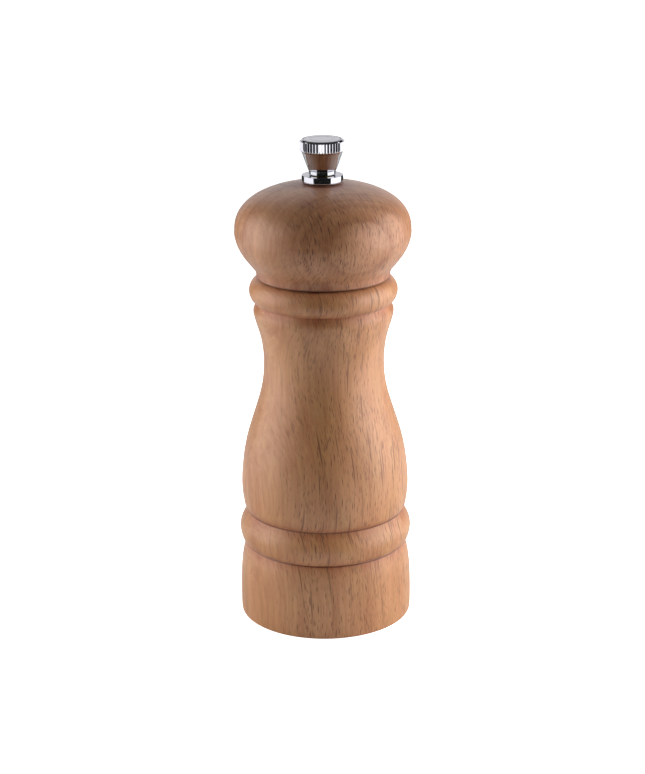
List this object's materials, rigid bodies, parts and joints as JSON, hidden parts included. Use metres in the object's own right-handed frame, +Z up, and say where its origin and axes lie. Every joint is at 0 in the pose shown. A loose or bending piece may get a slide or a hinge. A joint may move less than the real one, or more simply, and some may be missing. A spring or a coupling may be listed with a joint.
{
  "type": "pepper mill",
  "caption": "Turned wooden pepper mill with a domed lift-off head, a ribbed metal adjusting knob and a steel burr grinder inside.",
  "frame": {"origin": "centre of the foot's flat face, on the surface that the mill stands on", "axes": "+Z up the mill's axis, -Y towards the side that is seen, all pieces turned round Z"},
  "size_m": [0.059, 0.059, 0.165],
  "materials": {
    "beech_body": "satin lacquer",
    "beech_head": "satin lacquer",
    "chrome": "mirror polish",
    "steel": "zinc plated",
    "hard_steel": "hardened, machined",
    "screw_steel": "zinc plated",
    "spring_steel": "drawn wire",
    "brass": "turned"
  },
  "bodies": {
    "body": {"body": "beech_body", "stator": "hard_steel", "grinder_plate": "steel", "plate_screw_1": "screw_steel", "plate_screw_2": "screw_steel", "plate_screw_3": "screw_steel", "bridge": "steel"},
    "spring_seat": {"thrust_bush": "brass", "spring": "spring_steel"},
    "shaft": {"shaft": "steel", "rotor": "hard_steel", "spring_washer": "steel", "rotor_washer": "steel", "rotor_nut": "steel"},
    "head": {"head": "beech_head", "drive_plate": "steel", "drive_screw_1": "screw_steel", "drive_screw_2": "screw_steel"},
    "collar": {"collar": "chrome"},
    "knob": {"knob": "chrome", "knob_cap": "chrome", "knob_insert": "brass"}
  },
  "joints": [
    {"name": "head_turn", "type": "hinge", "parent": "body", "child": "spring_seat", "pos_m": [0, 0, 0.0353], "axis": [0, 0, 1], "continuous": true},
    {"name": "shaft_rise", "type": "slide", "parent": "spring_seat", "child": "shaft", "axis": [0, 0, 1], "range_m": [0, 0.0012], "deforming": ["spring"]},
    {"name": "head_lift", "type": "slide", "parent": "spring_seat", "child": "head", "axis": [0, 0, 1], "range_m": [0, 0.06]},
    {"name": "knob_lift", "type": "slide", "parent": "head", "child": "collar", "axis": [0, 0, 1], "range_m": [0, 0.02]},
    {"name": "knob_turn", "type": "hinge", "parent": "collar", "child": "knob", "pos_m": [0, 0, 0.1588], "axis": [0, 0, 1], "range_deg": [-540, 0]}
  ],
  "couplings": [
    {"joint": "knob_turn", "follows": "shaft_rise", "rad_per_m": -7854}
  ]
}
